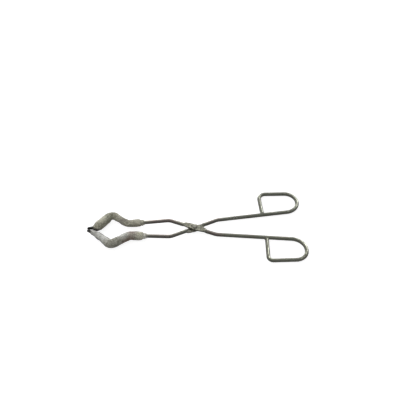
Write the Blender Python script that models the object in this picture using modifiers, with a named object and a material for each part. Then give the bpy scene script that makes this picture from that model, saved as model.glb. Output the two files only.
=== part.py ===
"""Crucible tongs with woven glass-fibre jaw sleeves, nominal length 254 mm (10 in).

Two arms, each bent from one round steel rod, cross at a riveted lap joint. At the
joint each rod is forged to a flat, one flat lying over the other. Behind the joint
each rod ends in a closed finger loop whose leg is welded back onto the arm. In
front of it the rods bow out round the crucible and meet in two bare tapered tips.
Each bow wears a woven sleeve, whipped onto the rod with yarn at its rear end.
The arms are bent by hand, so the second is only roughly the first one's mirror.

Frame: +X towards the finger loops, +Y away from the near side, +Z up along the
rivet. The origin is the centre of the rivet's lower head face. Metres.
"""

import math

import bmesh
import bpy
from mathutils import Matrix, Vector

MM = 0.001

# ---- driving dimensions, in millimetres -------------------------------------
ROD_R = 2.2            # radius of the steel rod
Z_MID = 3.8            # height of the rods' centreline plane above the rivet's lower face
TIP_X = -125.9         # end of the bare tips
TIP_R = 1.25           # radius of the tapered tip
TIP_TAPER = 9.0        # length over which the rod tapers to the tip

# Corner points of each arm's centreline (x, y, bend radius), with the jaw on the
# -Y side and the handle on the +Y side. The top arm is turned over, so its y is
# negated when it is made.
UNDER_CORNERS = [
    (TIP_X, -0.35, 0.0),       # tip
    (-115.6, -5.8, 4.0),       # the tip bends in to meet the other jaw
    (-98.3, -23.0, 6.2),       # apex of the bow
    (-76.2, -9.7, 13.5),       # neck behind the bow
    (-28.9, -12.6, 13.5),      # shoulder in front of the joint
    (27.4, 12.0, 14.0),        # shoulder behind the joint
    (123.9, 24.1, 15.6),       # outer end of the finger loop
    (127.3, 52.8, 14.6),
    (79.6, 52.8, 8.2),        # inner corner of the finger loop
    (81.4, 21.2, 0.0),         # leg, ends at the arm
]
TOP_CORNERS = [
    (TIP_X, -2.45, 0.0),
    (-115.3, -3.5, 3.5),
    (-97.6, -23.8, 6.2),
    (-78.5, -8.5, 13.5),
    (-29.4, -12.8, 12.5),
    (25.2, 11.0, 15.5),
    (130.0, 21.9, 17.2),
    (125.6, 51.5, 13.4),
    (82.1, 51.9, 5.6),
    (83.3, 19.4, 0.0),
]
BEND_STEP = math.radians(9.0)  # turn between two sections in a bend

# Forged lap joint
FLAT_HALF_W = 4.1      # half width of the eye at the rivet
FLAT_END_W = 2.7       # half width where the flat runs out
FLAT_HALF_T = 1.15     # half thickness of the flat
FLAT_GAP = 0.30        # free space between the two flats
TOP_FLAT = 12.0        # half length that is fully flat, top arm
UNDER_FLAT = 9.0       # the same, under arm
FLAT_RUNOUT = 3.2      # run-out from flat to round
FLAT_POWER = 6.0       # how square the flat's section is

# Rivet
RIVET_R = 1.5
HOLE_R = 1.8
HEAD_R = 2.9
HEAD_FACE_R = 1.9      # radius of the head's flat face
HEAD_GAP = 0.25
RIVET_TOP = 2 * Z_MID
RIVET_STEPS = 24

# Weld that closes the finger loop
WELD_SIZE = (2.75, 1.35, 2.45)

# Woven sleeves: (distance from the front end, outer radius). The braid is bulky where
# it was pushed together and thin where it is pulled tight. Negative distances count
# back from the rear end, which is drawn in under its yarn tie.
TOP_SLEEVE_X = (-118.8, -59.6)
UNDER_SLEEVE_X = (-120.3, -56.8)
SLEEVE_BORE_R = 2.5
TOP_SLEEVE = [
    (0.0, 3.05), (1.5, 3.60), (3.2, 4.70), (6.0, 5.50), (11.0, 5.80), (18.0, 5.70), (28.0, 4.80),
    (38.0, 4.20), (50.0, 4.30), (60.0, 4.55), (-4.7, 4.50), (-3.4, 3.40), (0.0, 3.10),
]
UNDER_SLEEVE = [
    (0.0, 2.95), (2.0, 3.20), (5.7, 3.50), (8.2, 4.10), (16.2, 4.40), (23.2, 5.00), (29.2, 5.60), (36.2, 5.35),
    (48.2, 5.20), (59.2, 5.30), (66.2, 5.15), (-4.7, 4.90), (-3.4, 3.40), (0.0, 3.10),
]
SLEEVE_STEP = 3.0      # spacing of the sleeve's sections along straights

# Yarn whipping over the sleeve's rear end
TIE_BACK = 2.0         # distance of its middle from the sleeve's rear end
TIE_GAP = 0.3
TIE_THICK = 0.55
TIE_WIDTH = 2.0

SIDES_RES = 4          # curve bevel resolution, 12 sides


# ---- scene set-up ------------------------------------------------------------
for old in list(bpy.data.objects):
    bpy.data.objects.remove(old, do_unlink=True)

parts = bpy.data.collections.new("crucible_tongs")
cutters = bpy.data.collections.new("cutters")
bpy.context.scene.collection.children.link(parts)
bpy.context.scene.collection.children.link(cutters)
cutters.hide_render = True


def material(name, color, roughness, metallic):
    m = bpy.data.materials.new(name)
    m.use_nodes = True
    b = m.node_tree.nodes["Principled BSDF"]
    b.inputs["Base Color"].default_value = (*color, 1.0)
    b.inputs["Roughness"].default_value = roughness
    b.inputs["Metallic"].default_value = metallic
    return m


STEEL_TOP = material("plated_steel_top_arm", (0.42, 0.42, 0.39), 0.32, 1.0)
STEEL_UNDER = material("plated_steel_under_arm", (0.40, 0.40, 0.37), 0.32, 1.0)
RIVET_STEEL = material("rivet_steel", (0.48, 0.47, 0.44), 0.35, 1.0)
SLEEVE_TOP = material("woven_glass_top_sleeve", (0.52, 0.52, 0.46), 0.95, 0.0)
SLEEVE_UNDER = material("woven_glass_under_sleeve", (0.55, 0.55, 0.50), 0.95, 0.0)
YARN = material("whipping_yarn", (0.62, 0.61, 0.55), 0.95, 0.0)


# ---- centreline --------------------------------------------------------------
def filleted(corners, step):
    """Points along straight runs joined by circular bends, as a bender makes them."""
    points = [Vector(corners[0][:2])]
    for i in range(1, len(corners) - 1):
        a, b, c = (Vector(corners[k][:2]) for k in (i - 1, i, i + 1))
        radius = corners[i][2]
        before, after = (b - a).normalized(), (c - b).normalized()
        turn = before.angle_signed(after)          # clockwise positive
        reach = radius * math.tan(abs(turn) / 2)
        start = b - before * reach
        side = Vector((before.y, -before.x)) * (1 if turn > 0 else -1)
        centre = start + side * radius
        n = max(2, round(abs(turn) / step))
        for k in range(n + 1):
            angle = -turn * k / n
            arm = start - centre
            points.append(centre + Vector((
                arm.x * math.cos(angle) - arm.y * math.sin(angle),
                arm.x * math.sin(angle) + arm.y * math.cos(angle))))
    points.append(Vector(corners[-1][:2]))
    return points


def lengths(points):
    run = [0.0]
    for a, b in zip(points, points[1:]):
        run.append(run[-1] + (b - a).length)
    return run


def at_length(points, run, s):
    s = min(max(s, 0.0), run[-1])
    for i in range(1, len(run)):
        if s <= run[i] or i == len(run) - 1:
            t = (s - run[i - 1]) / max(run[i] - run[i - 1], 1e-9)
            return points[i - 1].lerp(points[i], t)


def length_at_x(points, run, x):
    """Distance from the tip to the first place where the centreline reaches x."""
    for i in range(1, len(points)):
        if points[i - 1].x <= x <= points[i].x:
            t = (x - points[i - 1].x) / (points[i].x - points[i - 1].x)
            return run[i - 1] + t * (run[i] - run[i - 1])
    raise ValueError(x)


def stepped(x, table):
    """Straight-line lookup in a table of (position, value)."""
    if x <= table[0][0]:
        return table[0][1]
    for (x0, y0), (x1, y1) in zip(table, table[1:]):
        if x <= x1:
            return y0 + (y1 - y0) * (x - x0) / max(x1 - x0, 1e-9)
    return table[-1][1]


def smooth(t):
    t = min(max(t, 0.0), 1.0)
    return t * t * (3 - 2 * t)


class Wire:
    """One arm's centreline, measured along from its tip."""

    def __init__(self, corners, flat, sleeve_x, sleeve_radii):
        self.line = filleted(corners, BEND_STEP)
        self.run = lengths(self.line)
        self.pivot = length_at_x(self.line, self.run, 0.0)
        self.flat = flat
        self.flat_dir = (Vector(corners[5][:2]) - Vector(corners[4][:2])).normalized()
        self.foot = Vector(corners[-1][:2])
        self.sleeve_radii = sleeve_radii
        self.front = length_at_x(self.line, self.run, sleeve_x[0])
        self.sleeve = length_at_x(self.line, self.run, sleeve_x[1]) - self.front

    def at(self, s):
        return at_length(self.line, self.run, s)


def rod_radius(s):
    """The rod tapers to its tip, and the tip's end is rounded over."""
    r = TIP_R + (ROD_R - TIP_R) * smooth(s / TIP_TAPER)
    if s < 0.9:
        r *= 0.70 + 0.30 * math.sqrt(max(0.0, 1 - (1 - s / 0.9) ** 2))
    return r


# ---- shape helpers -----------------------------------------------------------
def tube_curve(name, stations, mirror, z=Z_MID):
    """A curve object with round section. stations holds (point, radius), in mm."""
    data = bpy.data.curves.new(name, "CURVE")
    data.dimensions = "3D"
    data.twist_mode = "Z_UP"
    data.bevel_depth = MM
    data.bevel_resolution = SIDES_RES
    data.use_fill_caps = True
    spline = data.splines.new("POLY")
    spline.points.add(len(stations) - 1)
    for p, (q, r) in zip(spline.points, stations):
        p.co = (q.x * MM, (-q.y if mirror else q.y) * MM, z * MM, 1.0)
        p.radius = r
    obj = bpy.data.objects.new(name, data)
    parts.objects.link(obj)
    return obj


def to_mesh(obj, name, collection, mat=None):
    """The evaluated curve as a closed mesh object, with its caps welded."""
    bpy.context.view_layer.update()
    graph = bpy.context.evaluated_depsgraph_get()
    mesh = bpy.data.meshes.new_from_object(obj.evaluated_get(graph))
    bm = bmesh.new()
    bm.from_mesh(mesh)
    bmesh.ops.remove_doubles(bm, verts=bm.verts, dist=1e-6)
    bmesh.ops.recalc_face_normals(bm, faces=bm.faces)
    bm.to_mesh(mesh)
    bm.free()
    made = bpy.data.objects.new(name, mesh)
    made.matrix_world = obj.matrix_world
    collection.objects.link(made)
    bpy.data.objects.remove(obj, do_unlink=True)
    mesh.materials.clear()
    if mat:
        mesh.materials.append(mat)
    return made


def as_cutter(obj):
    obj.hide_render = True
    obj.display_type = "WIRE"
    for c in list(obj.users_collection):
        c.objects.unlink(obj)
    cutters.objects.link(obj)
    return obj


def boolean(obj, other, operation):
    m = obj.modifiers.new(operation.lower() + "_" + other.name, "BOOLEAN")
    m.operation = operation
    m.solver = "EXACT"
    m.object = other


def cylinder(name, radius, z0, z1, sides, collection):
    mesh = bpy.data.meshes.new(name)
    bm = bmesh.new()
    bmesh.ops.create_cone(bm, cap_ends=True, segments=sides, radius1=radius * MM,
                          radius2=radius * MM, depth=(z1 - z0) * MM,
                          matrix=Matrix.Translation((0, 0, (z0 + z1) / 2 * MM)))
    bm.to_mesh(mesh)
    bm.free()
    obj = bpy.data.objects.new(name, mesh)
    collection.objects.link(obj)
    return obj


def round_shading(obj):
    obj.data.shade_smooth()
    obj.data.set_sharp_from_angle(angle=math.radians(40))


# ---- arms --------------------------------------------------------------------
def rod_stations(wire):
    """Sections along the rod: every point of the bends, more at the taper and flat."""
    at = set(round(s, 4) for s in wire.run)
    at.update((0.3, 0.9, 2.5, 4.5, 6.5, TIP_TAPER))
    for side in (-1, 1):
        for k in range(5):
            at.add(round(wire.pivot + side * (wire.flat + FLAT_RUNOUT * k / 4), 4))
        for k in range(6):
            at.add(round(wire.pivot + side * wire.flat * k / 6, 4))
    ordered = sorted(at)
    kept = [ordered[0]]
    for s in ordered[1:-1]:
        if s - kept[-1] > 0.25:
            kept.append(s)
    kept.append(ordered[-1])
    return kept


def make_arm(name, wire, mirror, layer, mat):
    """layer is +1 for the arm whose flat lies on top and -1 for the one under it."""
    stations = [(wire.at(s), rod_radius(s)) for s in rod_stations(wire)]
    arm = to_mesh(tube_curve(name + "_wire", stations, mirror), name, parts, mat)
    # forge the round rod to a flat eye round the pivot
    d = Vector((wire.flat_dir.x, -wire.flat_dir.y if mirror else wire.flat_dir.y))
    n = Vector((-d.y, d.x))
    offset = layer * (FLAT_GAP / 2 + FLAT_HALF_T)
    for v in arm.data.vertices:
        x, y, z = v.co.x / MM, v.co.y / MM, v.co.z / MM - Z_MID
        p = Vector((x, y))
        u, w = p.dot(d), p.dot(n)
        if abs(u) > wire.flat + FLAT_RUNOUT or abs(w) > 2 * ROD_R:
            continue
        share = 1 - smooth((abs(u) - wire.flat) / FLAT_RUNOUT)
        if share <= 0:
            continue
        c, s = w / ROD_R, z / ROD_R
        e = 2.0 / FLAT_POWER
        eye = FLAT_END_W + (FLAT_HALF_W - FLAT_END_W) * (1 - min(1.0, abs(u) / wire.flat) ** 1.6)
        fw = eye * math.copysign(abs(c) ** e, c) if abs(c) > 1e-4 else 0.0
        fz = FLAT_HALF_T * math.copysign(abs(s) ** e, s) if abs(s) > 1e-4 else 0.0
        w2 = w + (fw - w) * share
        z2 = z + (fz + offset - z) * share
        q = d * u + n * w2
        v.co = Vector((q.x * MM, q.y * MM, (z2 + Z_MID) * MM))
    # weld that joins the loop's leg to the arm
    foot = wire.foot
    bead_mesh = bpy.data.meshes.new(name + "_weld")
    bm = bmesh.new()
    bmesh.ops.create_uvsphere(bm, u_segments=12, v_segments=8, radius=1.0)
    bm.to_mesh(bead_mesh)
    bm.free()
    bead = bpy.data.objects.new(name + "_weld", bead_mesh)
    parts.objects.link(bead)
    y = foot.y - 0.2
    bead.data.transform(Matrix.Translation((foot.x * MM, (-y if mirror else y) * MM, Z_MID * MM))
                        @ Matrix.Diagonal((WELD_SIZE[0] * MM, WELD_SIZE[1] * MM, WELD_SIZE[2] * MM, 1.0)))
    as_cutter(bead)
    boolean(arm, bead, "UNION")
    hole = as_cutter(cylinder(name + "_hole", HOLE_R, -2.0, 10.0, RIVET_STEPS, parts))
    boolean(arm, hole, "DIFFERENCE")
    round_shading(arm)
    return arm


# ---- rivet -------------------------------------------------------------------
def make_rivet():
    """Turned profile, from the top face down its outer side to the lower face."""
    low_head = Z_MID - FLAT_GAP / 2 - 2 * FLAT_HALF_T - HEAD_GAP
    top_head = Z_MID + FLAT_GAP / 2 + 2 * FLAT_HALF_T + HEAD_GAP
    profile = [
        (0.0, RIVET_TOP), (HEAD_FACE_R, RIVET_TOP), (HEAD_R - 0.45, RIVET_TOP - 0.22),
        (HEAD_R - 0.1, RIVET_TOP - 0.55), (HEAD_R, top_head), (RIVET_R, top_head),
        (RIVET_R, low_head), (HEAD_R, low_head), (HEAD_R - 0.1, 0.55), (HEAD_R - 0.45, 0.22),
        (HEAD_FACE_R, 0.0), (0.0, 0.0),
    ]
    mesh = bpy.data.meshes.new("pivot_rivet")
    mesh.from_pydata([(r * MM, 0.0, z * MM) for r, z in profile],
                     [(i, i + 1) for i in range(len(profile) - 1)], [])
    obj = bpy.data.objects.new("pivot_rivet", mesh)
    mesh.materials.append(RIVET_STEEL)
    parts.objects.link(obj)
    screw = obj.modifiers.new("turn", "SCREW")
    screw.axis = "Z"
    screw.steps = RIVET_STEPS
    screw.render_steps = RIVET_STEPS
    screw.use_merge_vertices = True
    screw.merge_threshold = 0.00001
    return obj


# ---- sleeves -----------------------------------------------------------------
def sleeve_profile(wire):
    last = len(wire.sleeve_radii) - 1
    return [(wire.sleeve + a if a < 0 or i == last else a, r) for i, (a, r) in enumerate(wire.sleeve_radii)]


def sleeve_stations(wire):
    at = {0.0, wire.sleeve}
    at.update(a for a, _ in sleeve_profile(wire))
    at.update(s - wire.front for s in wire.run if 0 < s - wire.front < wire.sleeve)
    k = 1
    while k * SLEEVE_STEP < wire.sleeve:
        at.add(k * SLEEVE_STEP)
        k += 1
    kept = [0.0]
    for s in sorted(at):
        if s - kept[-1] > 0.7:
            kept.append(s)
    if wire.sleeve - kept[-1] < 0.5:
        kept.pop()
    kept.append(wire.sleeve)
    return kept


def make_sleeve(name, wire, mirror, mat):
    profile = sleeve_profile(wire)
    along = sleeve_stations(wire)
    outer = [(wire.at(wire.front + s), stepped(s, profile)) for s in along]
    sleeve = to_mesh(tube_curve(name + "_outside", outer, mirror), name, parts, mat)
    bore = [(wire.at(wire.front + s), SLEEVE_BORE_R) for s in [-1.5] + along + [wire.sleeve + 1.5]]
    cut = as_cutter(to_mesh(tube_curve(name + "_bore_wire", bore, mirror), name + "_bore", parts))
    boolean(sleeve, cut, "DIFFERENCE")
    round_shading(sleeve)
    return sleeve


def make_tie(name, wire, mirror):
    """A ring of whipping yarn round the drawn-in rear end of the sleeve."""
    s = wire.sleeve - TIE_BACK
    p = wire.at(wire.front + s)
    q = wire.at(wire.front + s + 0.5)
    d = (q - p).normalized()
    r_in = stepped(s, sleeve_profile(wire)) + TIE_GAP
    half = TIE_WIDTH / 2
    profile = [(r_in, half), (r_in + TIE_THICK * 0.7, half), (r_in + TIE_THICK, half * 0.4),
               (r_in + TIE_THICK, -half * 0.4), (r_in + TIE_THICK * 0.7, -half), (r_in, -half)]
    n = len(profile)
    mesh = bpy.data.meshes.new(name)
    mesh.from_pydata([(r * MM, 0.0, z * MM) for r, z in profile], [(i, (i + 1) % n) for i in range(n)], [])
    obj = bpy.data.objects.new(name, mesh)
    mesh.materials.append(YARN)
    parts.objects.link(obj)
    screw = obj.modifiers.new("turn", "SCREW")
    screw.axis = "Z"
    screw.steps = RIVET_STEPS
    screw.render_steps = RIVET_STEPS
    screw.use_merge_vertices = True
    screw.merge_threshold = 0.00001
    obj.location = (p.x * MM, (-p.y if mirror else p.y) * MM, Z_MID * MM)
    obj.rotation_euler = Vector((d.x, -d.y if mirror else d.y, 0.0)).to_track_quat("Z", "Y").to_euler()
    return obj


top = Wire(TOP_CORNERS, TOP_FLAT, TOP_SLEEVE_X, TOP_SLEEVE)
under = Wire(UNDER_CORNERS, UNDER_FLAT, UNDER_SLEEVE_X, UNDER_SLEEVE)

make_arm("top_arm", top, True, +1, STEEL_TOP)
make_arm("under_arm", under, False, -1, STEEL_UNDER)
make_rivet()
make_sleeve("top_arm_sleeve", top, True, SLEEVE_TOP)
make_sleeve("under_arm_sleeve", under, False, SLEEVE_UNDER)
make_tie("top_sleeve_tie", top, True)
make_tie("under_sleeve_tie", under, False)
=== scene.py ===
"""Crucible tongs: the finished look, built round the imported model.

The arms, the rivet, the braided sleeves and the yarn ties are made here as fine meshes
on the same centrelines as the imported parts, and each rides on its part's body.
"""

import math

import bmesh
import bpy
import numpy as np
from mathutils import Matrix, Vector, noise


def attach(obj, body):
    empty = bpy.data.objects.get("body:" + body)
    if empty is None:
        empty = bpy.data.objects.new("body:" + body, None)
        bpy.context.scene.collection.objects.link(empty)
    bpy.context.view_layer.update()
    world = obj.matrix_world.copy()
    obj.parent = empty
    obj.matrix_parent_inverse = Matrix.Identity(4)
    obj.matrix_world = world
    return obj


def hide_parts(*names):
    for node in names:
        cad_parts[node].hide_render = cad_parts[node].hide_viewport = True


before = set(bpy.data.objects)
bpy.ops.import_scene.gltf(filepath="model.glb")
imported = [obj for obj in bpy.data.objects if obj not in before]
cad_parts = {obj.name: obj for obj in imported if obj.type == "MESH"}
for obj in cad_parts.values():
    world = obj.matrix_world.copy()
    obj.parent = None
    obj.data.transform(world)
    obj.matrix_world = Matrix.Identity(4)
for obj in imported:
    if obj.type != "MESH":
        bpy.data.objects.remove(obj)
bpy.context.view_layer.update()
MM = 0.001

TOP_BODY, UNDER_BODY = "top_jaw_arm", "under_jaw_arm"

# ---- the parts' dimensions, in millimetres ------------------------------------
ROD_R = 2.2
Z_MID = 3.8
TIP_X = -125.9
FLAT_HALF_W, FLAT_END_W, FLAT_HALF_T, FLAT_GAP, FLAT_RUNOUT = 4.1, 2.7, 1.15, 0.30, 3.2
TIP_CONTACT_Y = 1.05

UNDER_CORNERS = [
    (TIP_X, -0.35, 0.0), (-115.6, -5.8, 4.0), (-98.3, -23.0, 6.2), (-76.2, -9.7, 13.5), (-28.9, -12.6, 13.5),
    (27.4, 12.0, 14.0), (123.9, 24.1, 15.6), (127.3, 52.8, 14.6), (79.6, 52.8, 8.2), (81.4, 21.2, 0.0),
]
TOP_CORNERS = [
    (TIP_X, -2.45, 0.0), (-115.3, -3.5, 3.5), (-97.6, -23.8, 6.2), (-78.5, -8.5, 13.5), (-29.4, -12.8, 12.5),
    (25.2, 11.0, 15.5), (130.0, 21.9, 17.2), (125.6, 51.5, 13.4), (82.1, 51.9, 5.6), (83.3, 19.4, 0.0),
]
TOP_SLEEVE_X, UNDER_SLEEVE_X = (-118.8, -59.6), (-120.3, -56.8)
TOP_SLEEVE = [
    (0.0, 3.05), (1.5, 3.60), (3.2, 4.70), (6.0, 5.50), (11.0, 5.80), (18.0, 5.70), (28.0, 4.80),
    (38.0, 4.20), (50.0, 4.30), (60.0, 4.55), (-4.7, 4.50), (-3.4, 3.40), (0.0, 3.10),
]
UNDER_SLEEVE = [
    (0.0, 2.95), (2.0, 3.20), (5.7, 3.50), (8.2, 4.10), (16.2, 4.40), (23.2, 5.00), (29.2, 5.60), (36.2, 5.35),
    (48.2, 5.20), (59.2, 5.30), (66.2, 5.15), (-4.7, 4.90), (-3.4, 3.40), (0.0, 3.10),
]


# ---- centrelines --------------------------------------------------------------
def filleted(corners, step=math.radians(2.0)):
    points = [np.array(corners[0][:2])]
    for i in range(1, len(corners) - 1):
        a, b, c = (np.array(corners[k][:2], float) for k in (i - 1, i, i + 1))
        radius = corners[i][2]
        u, v = (b - a) / np.linalg.norm(b - a), (c - b) / np.linalg.norm(c - b)
        turn = math.atan2(u[0] * v[1] - u[1] * v[0], u @ v)
        start = b - u * radius * math.tan(abs(turn) / 2)
        sign = 1 if turn > 0 else -1
        centre = start + np.array((-u[1], u[0])) * radius * sign
        n = max(2, round(abs(turn) / step))
        for k in range(n + 1):
            t = turn * k / n
            r = start - centre
            points.append(centre + np.array((r[0] * math.cos(t) - r[1] * math.sin(t), r[0] * math.sin(t) + r[1] * math.cos(t))))
    points.append(np.array(corners[-1][:2], float))
    return np.array(points)


class Wire:
    """A centreline measured along from the tip, in the frame's coordinates."""

    def __init__(self, corners, mirror, flat, sleeve_x, sleeve_radii):
        pts = filleted(corners)
        if mirror:
            pts = pts * np.array((1, -1))
        self.mirror = mirror
        self.pts = pts
        self.run = np.concatenate([[0], np.cumsum(np.linalg.norm(np.diff(pts, axis=0), axis=1))])
        self.length = self.run[-1]
        self.flat = flat
        self.pivot = self.at_x(0.0)
        self.front = self.at_x(sleeve_x[0])
        self.sleeve = self.at_x(sleeve_x[1]) - self.front
        last = len(sleeve_radii) - 1
        self.radii = np.array([(self.sleeve + a if a < 0 or i == last else a, r) for i, (a, r) in enumerate(sleeve_radii)])
        self.foot = np.array(corners[-1][:2], float) * (np.array((1, -1)) if mirror else 1)

    def at_x(self, x):
        for i in range(1, len(self.pts)):
            x0, x1 = self.pts[i - 1][0], self.pts[i][0]
            if x0 <= x <= x1:
                return self.run[i - 1] + (x - x0) / (x1 - x0) * (self.run[i] - self.run[i - 1])
        raise ValueError(x)

    def at(self, s):
        """Points and unit tangents at distances s; beyond the ends the line runs on straight."""
        s = np.atleast_1d(np.asarray(s, float))
        c = np.clip(s, 0, self.length)
        p = np.stack([np.interp(c, self.run, self.pts[:, k]) for k in (0, 1)], -1)
        e = 0.35
        q0 = np.stack([np.interp(np.clip(c - e, 0, self.length), self.run, self.pts[:, k]) for k in (0, 1)], -1)
        q1 = np.stack([np.interp(np.clip(c + e, 0, self.length), self.run, self.pts[:, k]) for k in (0, 1)], -1)
        t = q1 - q0
        t /= np.linalg.norm(t, axis=1)[:, None]
        return p + t * (s - c)[:, None], t

    def sleeve_r(self, s):
        """Outer radius of the sleeve at distance s from its front end, smoothed."""
        s = np.asarray(s, float)
        total = 0
        for d, w in ((-0.9, 0.15), (-0.45, 0.2), (0, 0.3), (0.45, 0.2), (0.9, 0.15)):
            total = total + w * np.interp(s + d, self.radii[:, 0], self.radii[:, 1])
        return total


top = Wire(TOP_CORNERS, True, 12.0, TOP_SLEEVE_X, TOP_SLEEVE)
under = Wire(UNDER_CORNERS, False, 9.0, UNDER_SLEEVE_X, UNDER_SLEEVE)


def smooth(t):
    t = np.clip(t, 0, 1)
    return t * t * (3 - 2 * t)


def wave_noise(x, seed, octaves=4, base=1.0):
    """Smooth repeatable noise of one coordinate, about -1 to 1."""
    x = np.asarray(x, float)
    out = np.zeros_like(x)
    amp, total = 1.0, 0.0
    for k in range(octaves):
        f = base * 1.9 ** k
        out += amp * np.sin(f * x + seed * 12.9898 + k * 4.1) * np.cos(0.61 * f * x + seed * 7.233 + k * 1.7)
        total += amp
        amp *= 0.6
    return out / total * 1.6


# ---- mesh helpers -------------------------------------------------------------
def mesh_object(name, verts_mm, faces, mats, smooth_faces=True, mat_index=None):
    me = bpy.data.meshes.new(name)
    me.from_pydata([tuple(v) for v in np.asarray(verts_mm) * MM], [], faces)
    me.validate()
    ob = bpy.data.objects.new(name, me)
    bpy.context.scene.collection.objects.link(ob)
    for m in mats:
        me.materials.append(m)
    if mat_index is not None:
        me.polygons.foreach_set("material_index", np.asarray(mat_index, np.int32))
    me.polygons.foreach_set("use_smooth", [smooth_faces] * len(me.polygons))
    me.update()
    return ob


def add_vectors(ob, name, values):
    layer = ob.data.attributes.new(name, "FLOAT_VECTOR", "POINT")
    layer.data.foreach_set("vector", np.asarray(values, np.float32).ravel())


def tube_faces(rings, sides, cap=True, offset=0):
    faces = []
    for i in range(rings - 1):
        for j in range(sides):
            k = (j + 1) % sides
            faces.append((offset + i * sides + j, offset + i * sides + k, offset + (i + 1) * sides + k, offset + (i + 1) * sides + j))
    if cap:
        faces.append(tuple(offset + j for j in range(sides))[::-1])
        faces.append(tuple(offset + (rings - 1) * sides + j for j in range(sides)))
    return faces


def outward(ob):
    bm = bmesh.new()
    bm.from_mesh(ob.data)
    bmesh.ops.recalc_face_normals(bm, faces=bm.faces)
    bm.to_mesh(ob.data)
    bm.free()


# ---- materials ----------------------------------------------------------------
class Nodes:
    """A short way to write a node tree."""

    def __init__(self, name):
        self.mat = bpy.data.materials.new(name)
        self.mat.use_nodes = True
        self.tree = self.mat.node_tree
        self.bsdf = self.tree.nodes["Principled BSDF"]

    def add(self, kind, **inputs):
        n = self.tree.nodes.new(kind)
        for k, v in inputs.items():
            if hasattr(n, k):
                setattr(n, k, v)
            else:
                raise AttributeError(k)
        return n

    def link(self, a, b):
        self.tree.links.new(a, b)

    def coords(self):
        return self.add("ShaderNodeTexCoord").outputs["Object"]

    def scaled(self, vector, scale):
        m = self.add("ShaderNodeMapping")
        m.inputs["Scale"].default_value = scale
        self.link(vector, m.inputs["Vector"])
        return m.outputs["Vector"]

    def noise(self, vector, scale, detail=3.0, rough=0.55, distortion=0.0):
        n = self.add("ShaderNodeTexNoise")
        n.inputs["Scale"].default_value = scale
        n.inputs["Detail"].default_value = detail
        n.inputs["Roughness"].default_value = rough
        n.inputs["Distortion"].default_value = distortion
        self.link(vector, n.inputs["Vector"])
        return n.outputs["Fac"]

    def ramp(self, fac, stops):
        r = self.add("ShaderNodeValToRGB")
        el = r.color_ramp.elements
        while len(el) < len(stops):
            el.new(0.5)
        for e, (pos, col) in zip(el, stops):
            e.position = pos
            e.color = (*col, 1.0) if isinstance(col, tuple) else (col, col, col, 1.0)
        self.link(fac, r.inputs["Fac"])
        return r.outputs["Color"]

    def mix(self, fac, a, b, blend="MIX"):
        m = self.add("ShaderNodeMix", data_type="RGBA", blend_type=blend)
        if isinstance(fac, float):
            m.inputs[0].default_value = fac
        else:
            self.link(fac, m.inputs[0])
        for value, socket in ((a, m.inputs[6]), (b, m.inputs[7])):
            if isinstance(value, tuple):
                socket.default_value = (*value, 1.0)
            else:
                self.link(value, socket)
        return m.outputs[2]

    def math(self, op, a, b=0.0):
        m = self.add("ShaderNodeMath", operation=op)
        for value, socket in ((a, m.inputs[0]), (b, m.inputs[1])):
            if isinstance(value, (int, float)):
                socket.default_value = value
            else:
                self.link(value, socket)
        return m.outputs[0]

    def map_range(self, value, a, b, c, d):
        m = self.add("ShaderNodeMapRange")
        m.clamp = True
        for name, v in (("From Min", a), ("From Max", b), ("To Min", c), ("To Max", d)):
            m.inputs[name].default_value = v
        self.link(value, m.inputs["Value"])
        return m.outputs["Result"]

    def blob(self, vector, centre, radius):
        """1 at the centre, falling to 0 at the radius. Metres, in the object's coordinates."""
        d = self.add("ShaderNodeVectorMath", operation="DISTANCE")
        self.link(vector, d.inputs[0])
        d.inputs[1].default_value = centre
        return self.map_range(d.outputs["Value"], radius * 0.35, radius, 1.0, 0.0)

    def attribute(self, name):
        a = self.add("ShaderNodeAttribute")
        a.attribute_name = name
        return a

    def bump(self, height, strength, distance):
        b = self.add("ShaderNodeBump")
        b.inputs["Strength"].default_value = strength
        b.inputs["Distance"].default_value = distance
        self.link(height, b.inputs["Height"])
        return b.outputs["Normal"]


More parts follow.
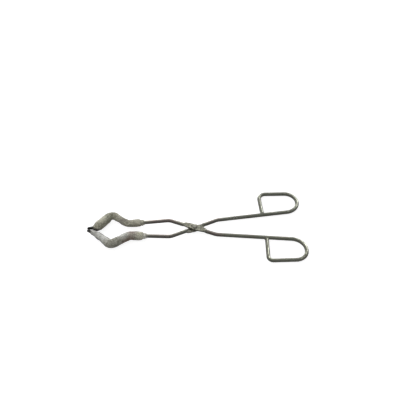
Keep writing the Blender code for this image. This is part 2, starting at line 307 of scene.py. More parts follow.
def steel(name, tint, dark, warm, tip, pitting=1.0):
    """Drawn steel rod: lines along the rod, dull handling patches, heat tint towards the jaws, and tips darkened partly
    by heat and partly as painted shade.
    """
    n = Nodes(name)
    obj = n.coords()
    rod = n.attribute("rod").outputs["Vector"]     # (round the rod, along the rod, 0), in mm
    lines = n.noise(n.scaled(rod, (5.0, 0.05, 1.0)), 1.0, 4.0, 0.65)
    fine = n.noise(n.scaled(rod, (14.0, 0.16, 1.0)), 1.0, 2.0, 0.6)
    patches = n.noise(obj, 95.0, 5.0, 0.62)
    grime = n.noise(obj, 420.0, 4.0, 0.6)
    base = n.mix(n.ramp(patches, [(0.36, 0.0), (0.66, 1.0)]), tint, dark)
    base = n.mix(n.ramp(lines, [(0.35, 0.0), (0.75, 0.55)]), base, tuple(min(1.0, c * 1.45) for c in tint))
    base = n.mix(n.ramp(grime, [(0.60, 0.0), (0.74, 0.55)]), base, tuple(c * 0.42 for c in dark))
    sep = n.add("ShaderNodeSeparateXYZ")
    n.link(obj, sep.inputs[0])
    heat = n.math("MULTIPLY", n.map_range(sep.outputs["X"], -0.011, -0.026, 0.0, 0.9), n.map_range(sep.outputs["X"], -0.060, -0.050, 0.35, 1.0))
    behind = n.math("MULTIPLY", n.map_range(sep.outputs["X"], 0.011, 0.016, 0.0, 0.85), n.map_range(sep.outputs["X"], 0.026, 0.038, 1.0, 0.0))
    heat = n.math("ADD", heat, behind)
    heat = n.math("MULTIPLY", heat, n.map_range(n.noise(obj, 60.0, 3.0), 0.3, 0.7, 0.65, 1.0))
    base = n.mix(heat, base, warm)
    # the hammered flats are pitted and scuffed
    joint = n.blob(obj, (0.0, 0.0, Z_MID * MM), 0.019)
    base = n.mix(n.math("MULTIPLY", joint, 0.6), base, (0.286, 0.279, 0.238))
    pits = n.noise(n.scaled(obj, (1.0, 1.3, 1.0)), 640.0, 3.0, 0.6)
    scuffs = n.noise(n.scaled(obj, (1.4, 1.0, 1.0)), 470.0, 3.0, 0.6)
    base = n.mix(n.math("MULTIPLY", joint, n.ramp(pits, [(0.44, 0.0), (0.56, 0.85 * pitting)])), base, tuple(c * 0.40 for c in dark))
    base = n.mix(n.math("MULTIPLY", joint, n.ramp(scuffs, [(0.47, 0.0), (0.58, 0.85 * pitting)])), base, tuple(c * 1.62 * k for c, k in zip(tint, (1.02, 0.985, 0.95))))
    # tips darkened: partly heat-blackening, partly painted shade where the two tips meet; the top arm's tip colour is
    # near black
    tip_soot_and_shade = n.math("ADD", sep.outputs["X"], n.math("MULTIPLY", n.noise(obj, 330.0, 3.0), 0.006))
    base = n.mix(n.map_range(tip_soot_and_shade, -0.108, -0.114, 0.0, 0.95), base, tip)
    n.link(base, n.bsdf.inputs["Base Color"])
    n.bsdf.inputs["Metallic"].default_value = 1.0
    rough = n.math("ADD", n.map_range(patches, 0.3, 0.7, 0.24, 0.40), n.map_range(lines, 0.3, 0.8, -0.03, 0.07))
    n.link(n.math("ADD", rough, n.map_range(grime, 0.58, 0.72, 0.0, 0.16)), n.bsdf.inputs["Roughness"])
    n.bsdf.inputs["Anisotropic"].default_value = 0.25
    height = n.math("ADD", n.math("MULTIPLY", lines, 0.7), n.math("MULTIPLY", fine, 0.5))
    height = n.math("ADD", height, n.math("MULTIPLY", grime, 0.5))
    height = n.math("ADD", height, n.math("MULTIPLY", joint, n.math("MULTIPLY", pits, -2.2)))
    n.link(n.bump(height, 0.35, 0.00006), n.bsdf.inputs["Normal"])
    return n.mat


def fibre(name, pale, mid, deep, blobs, shade_and_dark_lines=()):
    """Braided glass-fibre yarn: filament lines along each yarn, yarn-to-yarn tone, stains, painted shade at the yarns'
    edges, and painted shade and dark lines laid on last.
    """
    n = Nodes(name)
    obj = n.coords()
    yarn = n.attribute("yarn")                 # (tone of this yarn, across it, along it in mm)
    sep = n.add("ShaderNodeSeparateXYZ")
    n.link(yarn.outputs["Vector"], sep.inputs[0])
    tone, across, along = sep.outputs
    fil = n.add("ShaderNodeCombineXYZ")
    n.link(n.math("MULTIPLY", across, 7.0), fil.inputs[0])
    n.link(n.math("MULTIPLY", along, 0.35), fil.inputs[1])
    n.link(n.math("MULTIPLY", tone, 37.0), fil.inputs[2])
    filaments = n.noise(fil.outputs[0], 1.0, 3.0, 0.6)
    mottle = n.noise(obj, 210.0, 4.0, 0.66)
    speck = n.noise(obj, 820.0, 2.0, 0.6)
    colour = n.mix(n.ramp(mottle, [(0.36, 0.0), (0.60, 1.0)]), pale, mid)
    colour = n.mix(n.map_range(tone, 0.0, 1.0, 0.0, 0.55), colour, deep)
    dark_fleck = n.noise(n.scaled(obj, (1.0, 1.0, 1.3)), 520.0, 2.0, 0.5)
    pale_fleck = n.noise(n.scaled(obj, (1.2, 1.0, 1.0)), 610.0, 2.0, 0.5)
    colour = n.mix(n.ramp(dark_fleck, [(0.50, 0.0), (0.66, 0.75)]), colour, tuple(c * 0.62 for c in deep))
    colour = n.mix(n.ramp(pale_fleck, [(0.50, 0.0), (0.64, 0.70)]), colour, tuple(min(1.0, c * 1.55) for c in pale))
    colour = n.mix(n.ramp(speck, [(0.58, 0.0), (0.72, 0.6)]), colour, tuple(c * 0.45 for c in deep))
    for centre, radius, shade, amount in blobs:
        mask = n.math("MULTIPLY", n.blob(obj, tuple(c * MM for c in centre), radius * MM), amount)
        mask = n.math("MULTIPLY", mask, n.map_range(n.noise(obj, 300.0, 4.0, 0.7), 0.36, 0.60, 0.35, 1.0))
        colour = n.mix(mask, colour, shade)
    # painted shade: each yarn darker towards its edges, where it dips under its neighbours
    yarn_edge_shade = n.map_range(n.math("ABSOLUTE", across), 0.55, 1.0, 0.0, 0.5)
    colour = n.mix(yarn_edge_shade, colour, tuple(c * 0.5 for c in deep))
    colour = n.mix(n.ramp(filaments, [(0.35, 0.0), (0.72, 0.28)]), colour, tuple(min(1.0, c * 1.35) for c in pale))
    # painted shade and dark lines, laid over every other colour
    for centre, radius, shade, amount in shade_and_dark_lines:
        mask = n.math("MULTIPLY", n.blob(obj, tuple(c * MM for c in centre), radius * MM), amount)
        mask = n.math("MULTIPLY", mask, n.map_range(n.noise(obj, 420.0, 4.0, 0.7), 0.32, 0.52, 0.45, 1.0))
        colour = n.mix(mask, colour, shade)
    n.link(colour, n.bsdf.inputs["Base Color"])
    n.link(n.map_range(filaments, 0.3, 0.7, 0.72, 0.95), n.bsdf.inputs["Roughness"])
    n.bsdf.inputs["Sheen Weight"].default_value = 0.35
    n.bsdf.inputs["Sheen Roughness"].default_value = 0.5
    n.bsdf.inputs["Specular IOR Level"].default_value = 0.3
    height = n.math("ADD", n.math("MULTIPLY", filaments, 1.0), n.math("MULTIPLY", speck, 0.4))
    n.link(n.bump(height, 0.7, 0.00012), n.bsdf.inputs["Normal"])
    return n.mat


def shade_layer_material(name, a, b):
    n = Nodes(name)
    obj = n.coords()
    n.link(n.mix(n.ramp(n.noise(obj, 900.0, 3.0), [(0.4, 0.0), (0.65, 1.0)]), a, b), n.bsdf.inputs["Base Color"])
    n.bsdf.inputs["Roughness"].default_value = 0.95
    n.link(n.bump(n.noise(obj, 1600.0, 3.0), 0.8, 0.0002), n.bsdf.inputs["Normal"])
    return n.mat


# the last colour is the tip's dark: heat-blackened steel, deepened as painted shade, most on the top arm
STEEL_TOP = steel("drawn_steel_top_arm", (0.345, 0.350, 0.290), (0.255, 0.260, 0.205), (0.290, 0.242, 0.228), (0.030, 0.030, 0.028))
STEEL_UNDER = steel("drawn_steel_under_arm", (0.335, 0.342, 0.290), (0.245, 0.252, 0.205), (0.270, 0.240, 0.222), (0.085, 0.085, 0.085))
RIVET = steel("rivet_steel", (0.43, 0.435, 0.38), (0.31, 0.315, 0.26), (0.3, 0.28, 0.26), (0.2, 0.2, 0.2), 0.4)

BROWN = (0.160, 0.088, 0.046)
PLUM = (0.200, 0.178, 0.165)
OLIVE = (0.158, 0.166, 0.112)
GREEN = (0.70, 0.685, 0.53)
FIBRE_TOP = fibre(
    "glass_braid_top", (0.480, 0.466, 0.372), (0.222, 0.216, 0.157), (0.110, 0.106, 0.074),
    [((-107, 13, 5), 14, OLIVE, 0.5), ((-97, 19, 6), 10, OLIVE, 0.45), ((-84, 12, 5), 9, PLUM, 0.8),
     ((-110, 14, 9), 9, (0.74, 0.72, 0.60), 0.65), ((-88, 20, 9), 8, (0.64, 0.62, 0.52), 0.45),
     ((-68, 11, 9), 12, (0.56, 0.54, 0.45), 0.5)],
    # painted shadow under the front end of the top sleeve, in the gap between the two sleeves
    [((-118.6, 1.6, 4.6), 3.0, (0.022, 0.022, 0.018), 0.9), ((-117.5, 0.2, 3.4), 4.2, (0.016, 0.016, 0.013), 0.95),
     ((-114.8, -0.9, 3.2), 3.6, (0.020, 0.020, 0.016), 0.92), ((-112.2, 0.6, 2.2), 3.0, (0.040, 0.040, 0.030), 0.8)])
FIBRE_UNDER = fibre(
    "glass_braid_under", (0.490, 0.480, 0.418), (0.256, 0.249, 0.198), (0.124, 0.121, 0.091),
    [((-93, -20, 3), 12, OLIVE, 0.5), ((-81, -18, 2.5), 7.5, BROWN, 1.0), ((-75, -15.5, 2.5), 7, BROWN, 0.9),
     ((-74, -9, 7), 8, (0.285, 0.215, 0.190), 0.9), ((-62, -12, 6), 9, GREEN, 0.85),
     ((-85, -11, 8), 9, (0.78, 0.79, 0.765), 0.9),
     ((-108, -13, 7), 13, (0.72, 0.725, 0.70), 0.9), ((-112, -8, 7.8), 4.5, (0.88, 0.885, 0.86), 0.9),
     ((-104.5, -14.5, 8), 5, (0.88, 0.88, 0.85), 0.9), ((-99, -17, 7.6), 5, (0.78, 0.77, 0.71), 0.85), ((-116, -6, 6), 8, (0.62, 0.625, 0.61), 0.85)],
    # painted shade under the sleeve's bottom; the row at height 6 is a dark line along the front leg's upper inner
    # side; the row at height 2.2 is painted shade along its lower outer side
    [((-119.5, -7.5, 0.5), 5.0, (0.055, 0.055, 0.055), 0.7), ((-108, -16.5, -0.5), 5.5, (0.10, 0.10, 0.10), 0.6)]
    + [((-110.6 + 2.0 * k, -5.7 - 2.0 * k, 6.0), 3.0, (0.045, 0.045, 0.042), 0.9) for k in range(6)]
    + [((-115.5 + 2.0 * k, -11.2 - 2.0 * k, 2.2), 3.0, (0.055, 0.055, 0.050), 0.75) for k in range(7)])
# dark colours for the inner shell: painted shade seen between the yarns
INNER_SHADE_LAYER = shade_layer_material("braid_inner_shade_layer", (0.10, 0.10, 0.08), (0.19, 0.19, 0.155))
YARN = fibre("whipping_yarn", (0.80, 0.79, 0.70), (0.64, 0.63, 0.53), (0.42, 0.41, 0.34), [])
YARN_TOP = fibre("whipping_yarn_top", (0.50, 0.49, 0.41), (0.34, 0.335, 0.265), (0.19, 0.185, 0.14), [])
FUZZ = fibre("loose_filaments", (0.85, 0.85, 0.78), (0.70, 0.70, 0.62), (0.50, 0.50, 0.43), [])


# ---- arms ---------------------------------------------------------------------
def make_arm(name, node, wire, layer, body, mat):
    sides = 32
    s = set(np.round(np.arange(0, wire.length, 0.55), 4))
    s |= set(np.round(np.linspace(0, 1.6, 12), 4))
    for side in (-1, 1):
        s |= set(np.round(wire.pivot + side * np.linspace(wire.flat - 0.5, wire.flat + FLAT_RUNOUT + 0.3, 18), 4))
    s = np.array(sorted(s))
    s = np.concatenate([s[np.concatenate([[True], np.diff(s) > 0.06])], [wire.length]])
    if s[-1] - s[-2] < 0.06:
        s = np.delete(s, -2)
    p, t = wire.at(s)
    nrm = np.stack([-t[:, 1], t[:, 0]], -1)
    # radius: tapered and rounded tip, faint draw marks along the rod
    r = 1.55 + (ROD_R - 1.55) * smooth(s / 9.0)
    tip = np.clip(s / 1.5, 0, 1)
    r = r * np.sqrt(np.clip(1 - (1 - tip) ** 2, 0.0, 1)) * (1 - 0.0) + 0.0
    r = np.maximum(r, 0.12)
    r = r + 0.012 * wave_noise(s, 3.1 if wire.mirror else 1.7, 4, 0.35)
    u = s - wire.pivot
    share = 1 - smooth((np.abs(u) - wire.flat) / FLAT_RUNOUT)
    angle = np.arange(sides) * 2 * math.pi / sides
    angle = angle + 0.0
    verts, rod = [], []
    lump = wave_noise(u, 5.3 if wire.mirror else 8.9, 3, 0.9)
    for i in range(len(s)):
        c, z = np.cos(angle), np.sin(angle)
        w0, z0 = r[i] * c, r[i] * z
        e = 2.0 / (2.0 + 5.0 * share[i])
        cc, zz = np.sign(c) * np.abs(c) ** e, np.sign(z) * np.abs(z) ** e
        eye = FLAT_END_W + (FLAT_HALF_W - FLAT_END_W) * (1 - min(1.0, abs(u[i]) / wire.flat) ** 1.6)
        half_w = eye + 0.10 * lump[i]
        half_t = FLAT_HALF_T + 0.035 * wave_noise(u[i] * 1.0, 2.2, 3, 1.3)
        w1, z1 = half_w * cc, half_t * zz + layer * (FLAT_GAP / 2 + FLAT_HALF_T)
        w = w0 + (w1 - w0) * share[i]
        zc = z0 + (z1 - z0) * share[i]
        # keep the side facing the other flat clear of it
        if share[i] > 0.02:
            limit = layer * 0.12
            zc = np.maximum(zc, limit) if layer > 0 and share[i] > 0.98 else zc
            zc = np.minimum(zc, limit) if layer < 0 and share[i] > 0.98 else zc
        xy = p[i] + np.outer(w, nrm[i])
        if s[i] < 9.0:   # the two tips are pressed to a flat where they meet
            if wire.mirror:
                xy[:, 1] = np.maximum(xy[:, 1], TIP_CONTACT_Y + 0.10)
            else:
                xy[:, 1] = np.minimum(xy[:, 1], TIP_CONTACT_Y - 0.10)
        verts.append(np.column_stack([xy, zc + Z_MID]))
        rod.append(np.column_stack([np.cos(angle) * 2.2, np.sin(angle) * 2.2 + s[i] * 0.0, np.full(sides, 0.0)]))
        rod[-1] = np.column_stack([angle * ROD_R, np.full(sides, s[i]), np.zeros(sides)])
    verts, rod = np.concatenate(verts), np.concatenate(rod)
    # the round coordinate must not jump where the section closes
    rod[:, 0] = np.tile(ROD_R * 2.2 * (1 - np.cos(angle / 2.0 * 2.0)) + 1.3 * np.sin(angle), len(s))
    ob = mesh_object(name, verts, tube_faces(len(s), sides), [mat])
    add_vectors(ob, "rod", rod)
    outward(ob)
    # hole for the rivet
    me = bpy.data.meshes.new(name + "_hole")
    bm = bmesh.new()
    bmesh.ops.create_cone(bm, cap_ends=True, segments=48, radius1=1.65 * MM, radius2=1.65 * MM, depth=0.02,
                          matrix=Matrix.Translation((0, 0, Z_MID * MM)))
    bm.to_mesh(me)
    bm.free()
    hole = bpy.data.objects.new(name + "_hole", me)
    bpy.context.scene.collection.objects.link(hole)
    # weld bead, an uneven saddle of filler metal between the leg's end and the arm
    me = bpy.data.meshes.new(name + "_bead")
    bm = bmesh.new()
    bmesh.ops.create_icosphere(bm, subdivisions=5, radius=1.0)
    sign = -1 if wire.mirror else 1
    centre = Vector((wire.foot[0], wire.foot[1] - sign * 0.35, Z_MID))
    for v in bm.verts:
        d = v.co.normalized()
        q = Vector((d.x * 2.9, d.y * 1.35, d.z * 2.55))
        k = 1 + 0.10 * noise.noise(d * 2.3 + Vector((3.0 if wire.mirror else 9.0, 0, 0))) + 0.035 * math.sin(9 * d.x + 4 * d.z)
        v.co = (centre + q * k) * MM
    bm.to_mesh(me)
    bm.free()
    bead = bpy.data.objects.new(name + "_bead", me)
    bpy.context.scene.collection.objects.link(bead)
    for other, op in ((bead, "UNION"), (hole, "DIFFERENCE")):
        m = ob.modifiers.new(op, "BOOLEAN")
        m.object, m.operation, m.solver = other, op, "EXACT"
    apply_modifiers(ob)
    for other in (bead, hole):
        bpy.data.objects.remove(other, do_unlink=True)
    ob.data.polygons.foreach_set("use_smooth", [True] * len(ob.data.polygons))
    ob.data.set_sharp_from_angle(angle=math.radians(48))
    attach(ob, body)
    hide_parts(node)
    return ob


def apply_modifiers(ob):
    bpy.context.view_layer.update()
    graph = bpy.context.evaluated_depsgraph_get()
    made = bpy.data.meshes.new_from_object(ob.evaluated_get(graph), preserve_all_data_layers=True, depsgraph=graph)
    ob.modifiers.clear()
    old = ob.data
    ob.data = made
    bpy.data.meshes.remove(old)


# ---- rivet --------------------------------------------------------------------
def make_rivet():
    """Set rivet: low domed heads with a small flat, marked by the hammer."""
    profile = []
    head_h = 1.12
    for k in range(15):
        a = k / 14 * math.pi / 2
        profile.append((1.5 + 1.4 * math.sin(a), 2 * Z_MID - head_h * (1 - math.cos(a)) * 0.92))
    profile.append((2.86, Z_MID + FLAT_GAP / 2 + 2 * FLAT_HALF_T + 0.06))
    profile.append((1.5, Z_MID + FLAT_GAP / 2 + 2 * FLAT_HALF_T + 0.06))
    profile += [(1.5, z) for z in np.linspace(Z_MID + 2.2, Z_MID - 2.2, 9)]
    low = [(x, 2 * Z_MID - z) for x, z in profile[:17]][::-1]
    profile += low
    profile = [(0.75, profile[0][1] + 0.0)] + profile + [(0.75, profile[-1][1])]
    sides = 48
    verts = [(0, 0, profile[0][1])]
    for x, z in profile:
        for j in range(sides):
            a = 2 * math.pi * j / sides
            d = 0.0
            if z > Z_MID + 2.6 or z < Z_MID - 2.6:
                d = 0.05 * noise.noise(Vector((x * math.cos(a) * 0.9, x * math.sin(a) * 0.9, z * 0.3)))
            rr = x * (1 + 0.02 * math.sin(3 * a + 1) * (x > 2))
            verts.append((rr * math.cos(a), rr * math.sin(a), z - abs(d) if z > Z_MID else z + abs(d)))
    verts.append((0, 0, profile[-1][1]))
    faces = []
    n = len(profile)
    for j in range(sides):
        k = (j + 1) % sides
        faces.append((0, 1 + j, 1 + k))
        for i in range(n - 1):
            faces.append((1 + i * sides + j, 1 + (i + 1) * sides + j, 1 + (i + 1) * sides + k, 1 + i * sides + k))
        faces.append((len(verts) - 1, 1 + (n - 1) * sides + k, 1 + (n - 1) * sides + j))
    ob = mesh_object("rivet", verts, faces, [RIVET])
    v = np.array(verts)
    add_vectors(ob, "rod", np.column_stack([v[:, 0], v[:, 1], v[:, 2]]))
    outward(ob)
    ob.data.set_sharp_from_angle(angle=math.radians(50))
    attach(ob, TOP_BODY)
    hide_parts("pivot_rivet")


# ---- sleeves ------------------------------------------------------------------
CARRIERS = 12            # yarns each way round


def lumps(s, theta, seed):
    """Low bulges of the braid, in mm, on the tube's surface."""
    s, theta = np.asarray(s, float), np.asarray(theta, float)
    a = np.sin(0.21 * s + seed) * np.cos(theta + 0.35 * np.sin(0.13 * s + seed))
    b = np.sin(0.47 * s + 2 * theta + 2.1 * seed)
    c = np.sin(0.83 * s - 3 * theta + 0.7 * seed)
    return 0.20 * a + 0.14 * b + 0.09 * c


def surface(wire, s, theta, height, seed):
    """Points on the sleeve: s along it, theta round it, height over the braid's middle."""
    s, theta, height = np.broadcast_arrays(np.asarray(s, float), np.asarray(theta, float), np.asarray(height, float))
    p, t = wire.at(wire.front + s)
    nrm = np.stack([-t[:, 1], t[:, 0]], -1)
    r = wire.sleeve_r(s)
    fade = smooth(s / 5.0) * smooth((wire.sleeve - s) / 7.0)
    r = r - 0.47 + height + lumps(s, theta, seed) * fade
    r = np.maximum(r, 2.35)
    w, z = r * np.cos(theta), r * np.sin(theta)
    return np.column_stack([p + nrm * w[:, None], Z_MID + z])


def make_sleeve(name, node, wire, body, fibre_mat, seed):
    rng = np.random.default_rng(int(seed * 10))
    verts, faces, attr, mat_index = [], [], [], []
    base = 0
    pitch_turn = math.tan(math.radians(44.0))     # yarn angle to the axis
    # advance round the tube: each yarn keeps about 44 degrees where the tube is thick and lies flatter where it is thin
    fine_s = np.arange(-0.1, wire.sleeve + 0.11, 0.33)
    mean_r = np.maximum(wire.sleeve_r(fine_s) - 0.4, 3.0)
    steady = 0.55 * mean_r.mean() + 0.45 * mean_r
    wind = np.concatenate([[0], np.cumsum(np.diff(fine_s) * pitch_turn / (0.5 * (steady[1:] + steady[:-1])))])
    section = 8
    for way in (-1, 1):
        for k in range(CARRIERS):
            phase = 2 * math.pi * k / CARRIERS + (0.0 if way > 0 else math.pi / CARRIERS)
            theta = phase + way * wind
            # a plain braid: each yarn goes over one of the other way's yarns and under the next
            over = way * np.sin(CARRIERS * wind) * 0.23
            tone = rng.random()
            width = (2 * math.pi * mean_r / CARRIERS) * math.cos(math.radians(44)) * (0.45 + 0.05 * rng.random())
            width = np.minimum(width, 1.0) * (1 + 0.10 * wave_noise(fine_s, seed + k * 1.37 + way, 3, 0.8))
            thick = 0.21 * (1 + 0.12 * wave_noise(fine_s, seed * 2 + k * 0.77 + way, 3, 1.1))
            wander = 0.035 * wave_noise(fine_s, seed + 3 * k + way * 0.5, 3, 0.35)
            n = len(fine_s)
            end_in = (smooth((fine_s + 0.6) / 2.2) * smooth((wire.sleeve + 0.6 - fine_s) / 2.2))
            for q in range(section):
                a = 2 * math.pi * q / section
                across, h = math.cos(a), math.copysign(abs(math.sin(a)) ** 0.8, math.sin(a))
                # across the yarn means along the surface, square to its run
                ds = -across * width * math.sin(math.radians(44)) * way
                dth = across * width * math.cos(math.radians(44)) / mean_r
                crown = h * thick + over * (0.35 + 0.65 * end_in)
                pts = surface(wire, fine_s + ds, theta + wander + dth, crown, seed)
                verts.append(pts)
                attr.append(np.column_stack([np.full(n, tone), np.full(n, across), fine_s / math.cos(math.radians(44)) + 50 * tone]))
            for q in range(section):
                q2 = (q + 1) % section
                for i in range(n - 1):
                    faces.append((base + q * n + i, base + q2 * n + i, base + q2 * n + i + 1, base + q * n + i + 1))
                    mat_index.append(0)
            faces.append(tuple(base + q * n for q in range(section)))
            faces.append(tuple(base + q * n + n - 1 for q in range(section))[::-1])
            mat_index += [0, 0]
            base += section * n
    # a dark inner shell under the braid, seen between the yarns: painted shade in the gaps of the braid
    ls = np.linspace(0.15, wire.sleeve - 0.15, int(wire.sleeve / 0.6))
    sides = 40
    th = np.arange(sides) * 2 * math.pi / sides
    for shell, inset in ((0, -0.27), (1, None)):
        for x in ls:
            if inset is not None:
                verts.append(surface(wire, np.full(sides, x), th, np.full(sides, inset), seed))
            else:
                p, t = wire.at(wire.front + x)
                nrm = np.array((-t[0, 1], t[0, 0]))
                w, z = 2.28 * np.cos(th), 2.28 * np.sin(th)
                verts.append(np.column_stack([p[0] + np.outer(w, nrm), Z_MID + z]))
            attr.append(np.column_stack([np.full(sides, 0.5), np.zeros(sides), np.full(sides, x)]))
        rows = len(ls)
        for i in range(rows - 1):
            for j in range(sides):
                k2 = (j + 1) % sides
                quad = (base + i * sides + j, base + i * sides + k2, base + (i + 1) * sides + k2, base + (i + 1) * sides + j)
                faces.append(quad if shell == 0 else quad[::-1])
                mat_index.append(1)
        if shell == 0:
            first = base
        base += rows * sides
    rows = len(ls)
    for i in (0, rows - 1):
        for j in range(sides):
            k2 = (j + 1) % sides
            a, b = first + i * sides + j, first + i * sides + k2
            c, d = first + rows * sides + i * sides + k2, first + rows * sides + i * sides + j
            faces.append((a, b, c, d)[::-1] if i == 0 else (a, b, c, d))
            mat_index.append(1)
    # frayed filaments at both cut ends and a few loose ones along the yarns
    for end in ("front", "rear", "side"):
        count = {"front": 22, "rear": 26, "side": 240}[end]
        for f in range(count):
            m = 5
            th0 = rng.random() * 2 * math.pi
            if end == "side":
                s0 = 4 + rng.random() * (wire.sleeve - 8)
                length = 0.8 + 1.5 * rng.random()
                along = s0 + np.linspace(0, 1, m) * length * (1 if rng.random() > 0.5 else -1)
                lift = -0.10 + (0.35 + 0.35 * rng.random()) * np.sin(np.linspace(0, 1, m) * 1.9)
                th1 = th0 + np.linspace(0, 1, m) * (rng.random() - 0.5) * 0.5
                rad = 0.032
            else:
                length = 1.1 + 1.7 * rng.random()
                s0 = 0.6 if end == "front" else wire.sleeve - 0.6
                sign = -1 if end == "front" else 1
                along = s0 + sign * np.linspace(0, 1, m) * length
                lift = -0.1 + (0.15 + 0.55 * rng.random()) * np.linspace(0, 1, m) ** 1.5
                th1 = th0 + np.linspace(0, 1, m) * (rng.random() - 0.5) * 0.9
                rad = 0.055
            centre = surface(wire, along, th1, lift, seed)
            tdir = np.gradient(centre, axis=0)
            tdir /= np.linalg.norm(tdir, axis=1)[:, None]
            side1 = np.cross(tdir, np.array((0.3, 0.2, 0.93)))
            side1 /= np.linalg.norm(side1, axis=1)[:, None]
            side2 = np.cross(tdir, side1)
            taper = np.array((1.0, 0.95, 0.85, 0.65, 0.3)) * rad
            tone = rng.random()
            for q in range(3):
                a = 2 * math.pi * q / 3
                verts.append(centre + (side1 * math.cos(a) + side2 * math.sin(a)) * taper[:, None])
                attr.append(np.column_stack([np.full(m, tone), np.zeros(m), along]))
            for q in range(3):
                q2 = (q + 1) % 3
                for i in range(m - 1):
                    faces.append((base + q * m + i, base + q2 * m + i, base + q2 * m + i + 1, base + q * m + i + 1))
                    mat_index.append(2)
            faces.append(tuple(base + q * m for q in range(3)))
            faces.append(tuple(base + q * m + m - 1 for q in range(3))[::-1])
            mat_index += [2, 2]
            base += 3 * m
    ob = mesh_object(name, np.concatenate(verts), faces, [fibre_mat, INNER_SHADE_LAYER, FUZZ], True, mat_index)
    add_vectors(ob, "yarn", np.concatenate(attr))
    outward(ob)
    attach(ob, body)
    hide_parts(node)
    return ob


# ---- ties ---------------------------------------------------------------------
def make_tie(name, node, wire, body, mat, seed):
    """A few turns of yarn round the sleeve's drawn-in end, finished in a small knot."""
    rng = np.random.default_rng(int(seed * 10))
    turns, rad = 4.3, 0.27
    mid = wire.sleeve - 2.0
    n = int(turns * 30)
    a = np.linspace(0, turns * 2 * math.pi, n)
    x = mid + (a / a[-1] - 0.5) * 1.75 + 0.05 * np.sin(a * 1.7 + seed)
    r = wire.sleeve_r(x) + 0.12 + 0.05 * np.sin(a * 2.3 + seed)
    p, t = wire.at(wire.front + x)
    nrm = np.stack([-t[:, 1], t[:, 0]], -1)
    start = 1.15
    line = np.column_stack([p + nrm * (r * np.cos(a + start))[:, None], Z_MID + r * np.sin(a + start)])
    # the knot: both ends tucked over each other on the top
    knot = []
    q = line[-1]
    out = np.array([*(nrm[-1] * math.cos(a[-1] + start)), math.sin(a[-1] + start)])
    along = np.array([*t[-1], 0.0])
    around = np.cross(along, out)
    for k in range(40):
        b = k / 39 * 2 * math.pi * 1.25
        knot.append(q + along * (0.55 * math.sin(b) - 0.25 * k / 39) + around * (0.45 * math.sin(2 * b)) + out * (0.28 + 0.14 * math.cos(2 * b + 0.6)))
    tail = [knot[-1] + (along * -0.35 + around * 0.9 + out * 0.05) * k * 0.28 for k in range(1, 5)]
    line = np.concatenate([line, knot, tail])
    d = np.gradient(line, axis=0)
    d /= np.linalg.norm(d, axis=1)[:, None]
    ref = np.array((1.0, 0.15, 0.0))
    side1 = np.cross(d, ref)
    side1 /= np.linalg.norm(side1, axis=1)[:, None]
    side2 = np.cross(d, side1)
    sides = 8
    m = len(line)
    run = np.concatenate([[0], np.cumsum(np.linalg.norm(np.diff(line, axis=0), axis=1))])
    verts, attr = [], []
    for q in range(sides):
        b = 2 * math.pi * q / sides
        twist = b + run * 1.3
        rr = rad * (1 + 0.10 * np.cos(2 * twist)) * np.clip((run[-1] - run) / 0.4 + 0.35, 0.35, 1) * 1.0
        verts.append(line + (side1 * math.cos(b) + side2 * math.sin(b)) * rr[:, None])
        attr.append(np.column_stack([np.full(m, 0.3), np.full(m, math.cos(b)) * 0.6, run]))
    faces = []
    for q in range(sides):
        q2 = (q + 1) % sides
        for i in range(m - 1):
            faces.append((q * m + i, q2 * m + i, q2 * m + i + 1, q * m + i + 1))
    faces.append(tuple(q * m for q in range(sides)))
    faces.append(tuple(q * m + m - 1 for q in range(sides))[::-1])
    ob = mesh_object(name, np.concatenate(verts), faces, [mat])
    add_vectors(ob, "yarn", np.concatenate(attr))
    outward(ob)
    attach(ob, body)
    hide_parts(node)
    return ob


make_arm("top_arm_rod", "top_arm", top, +1, TOP_BODY, STEEL_TOP)
make_arm("under_arm_rod", "under_arm", under, -1, UNDER_BODY, STEEL_UNDER)
make_rivet()
make_sleeve("top_arm_braid", "top_arm_sleeve", top, TOP_BODY, FIBRE_TOP, 1.3)
make_sleeve("under_arm_braid", "under_arm_sleeve", under, UNDER_BODY, FIBRE_UNDER, 4.1)
make_tie("top_sleeve_whipping", "top_sleeve_tie", top, TOP_BODY, YARN_TOP, 2.2)
make_tie("under_sleeve_whipping", "under_sleeve_tie", under, UNDER_BODY, YARN, 5.7)


# ---- stage --------------------------------------------------------------------
def stage():
    """A pale floor under the sleeves and the finger loops, which is what the tongs rest on."""
    low_jaw, low_loop = -2.35, Z_MID - ROD_R - 0.02
    slope = math.atan2((low_loop - low_jaw) * MM, 0.222)
    me = bpy.data.meshes.new("floor")
    bm = bmesh.new()
    bmesh.ops.create_grid(bm, x_segments=1, y_segments=1, size=6.0)
    bm.to_mesh(me)
    bm.free()
    floor = bpy.data.objects.new("floor", me)
    bpy.context.scene.collection.objects.link(floor)
    floor.rotation_euler = (0, -slope, 0)
    floor.location = (-0.098, 0, low_jaw * MM)
    n = Nodes("floor_white")
    obj = n.coords()
    n.link(n.mix(n.ramp(n.noise(obj, 1.5, 2.0), [(0.3, 0.0), (0.7, 1.0)]), (0.36, 0.36, 0.36), (0.38, 0.38, 0.378)), n.bsdf.inputs["Base Color"])
    n.bsdf.inputs["Roughness"].default_value = 0.9
    n.bsdf.inputs["Emission Color"].default_value = (1, 1, 1, 1)
    n.bsdf.inputs["Emission Strength"].default_value = 0.86
    me.materials.append(n.mat)
    floor.visible_glossy = False
    floor.visible_diffuse = False
    floor.visible_shadow = False
    return floor


def area(name, location, target, size, power, colour=(1, 1, 1)):
    light = bpy.data.lights.new(name, "AREA")
    light.shape = "RECTANGLE"
    light.size, light.size_y = size
    light.energy = power
    light.color = colour
    ob = bpy.data.objects.new(name, light)
    ob.location = location
    ob.rotation_euler = (Vector(target) - Vector(location)).to_track_quat("-Z", "Y").to_euler()
    bpy.context.scene.collection.objects.link(ob)
    return ob


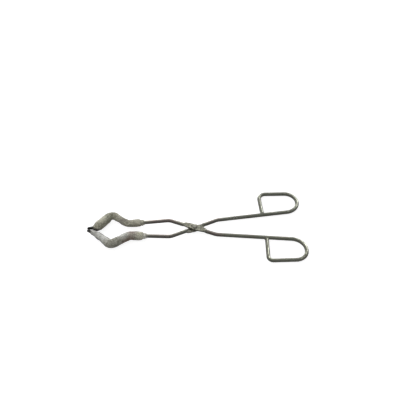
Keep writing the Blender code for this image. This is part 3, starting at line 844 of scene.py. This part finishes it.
stage()
area("key_left", (-0.60, 0.36, 0.80), (-0.05, 0, 0), (0.7, 0.6), 5.1).visible_glossy = False
area("rim_behind", (-0.20, 0.80, 0.24), (-0.08, 0.0, 0.0), (0.5, 0.22), 0.9).visible_glossy = False
area("fill_front", (0.0, -0.95, 0.60), (0, 0, 0), (1.4, 0.8), 3.0).visible_glossy = False
low = area("card_behind_jaws", (-0.09, 0.40, 0.03), (-0.06, 0.0, 0.01), (0.26, 0.26), 0.22)
over = area("card_over_jaws", (-0.06, 0.17, 0.42), (-0.05, 0.0, 0.0), (0.20, 0.28), 0.035)
low.data.spread = over.data.spread = math.radians(75)
area("card_right", (0.55, 0.75, 0.48), (0.1, 0.0, 0.0), (0.5, 0.4), 1.8).visible_diffuse = False
# A small card close to the outer ends of the finger loops, for the glints round them.
ends = area("card_loop_ends", (0.285, 0.24, 0.21), (0.135, 0.0, 0.0), (0.12, 0.12), 0.009)
ends.visible_diffuse = False
ends.data.spread = math.radians(18)

# the room: brighter behind the tongs than on the camera's side, dim below
world = bpy.data.worlds.new("studio")
bpy.context.scene.world = world
world.use_nodes = True
wt = world.node_tree
bg = wt.nodes["Background"]
bg.inputs["Color"].default_value = (1.0, 1.0, 1.0, 1.0)
way_out = wt.nodes.new("ShaderNodeTexCoord")
split = wt.nodes.new("ShaderNodeSeparateXYZ")
wt.links.new(way_out.outputs["Generated"], split.inputs[0])
parts = []
for axis, a, b, c, d in (("Y", -0.7, 0.9, 0.24, 0.41), ("Z", -0.6, 0.2, 0.45, 1.0)):
    m = wt.nodes.new("ShaderNodeMapRange")
    for k, v in (("From Min", a), ("From Max", b), ("To Min", c), ("To Max", d)):
        m.inputs[k].default_value = v
    wt.links.new(split.outputs[axis], m.inputs["Value"])
    parts.append(m.outputs["Result"])
both = wt.nodes.new("ShaderNodeMath")
both.operation = "MULTIPLY"
wt.links.new(parts[0], both.inputs[0])
wt.links.new(parts[1], both.inputs[1])
wt.links.new(both.outputs[0], bg.inputs["Strength"])

scene = bpy.context.scene
scene.view_settings.view_transform = "Standard"
scene.view_settings.look = "None"

# ---- camera -------------------------------------------------------------------
PITCH, ROLL, TURN = math.radians(46.37), math.radians(1.77), math.radians(3.87)
forward = Vector((math.cos(PITCH) * math.sin(TURN), math.cos(PITCH) * math.cos(TURN), -math.sin(PITCH)))
right0 = Vector((math.cos(TURN), -math.sin(TURN), 0))
up0 = Vector((math.sin(PITCH) * math.sin(TURN), math.sin(PITCH) * math.cos(TURN), math.cos(PITCH)))
right = math.cos(ROLL) * right0 + math.sin(ROLL) * up0
up = -math.sin(ROLL) * right0 + math.cos(ROLL) * up0
cam = bpy.data.cameras.new("camera")
cam.lens = 76.5
cam.sensor_width = 36.0
cam.clip_start, cam.clip_end = 0.05, 20.0
camera = bpy.data.objects.new("camera", cam)
camera.matrix_world = Matrix((
    (right.x, up.x, -forward.x, -0.0398),
    (right.y, up.y, -forward.y, -0.6643),
    (right.z, up.z, -forward.z, 0.7498),
    (0, 0, 0, 1)))
scene.collection.objects.link(camera)
scene.camera = camera
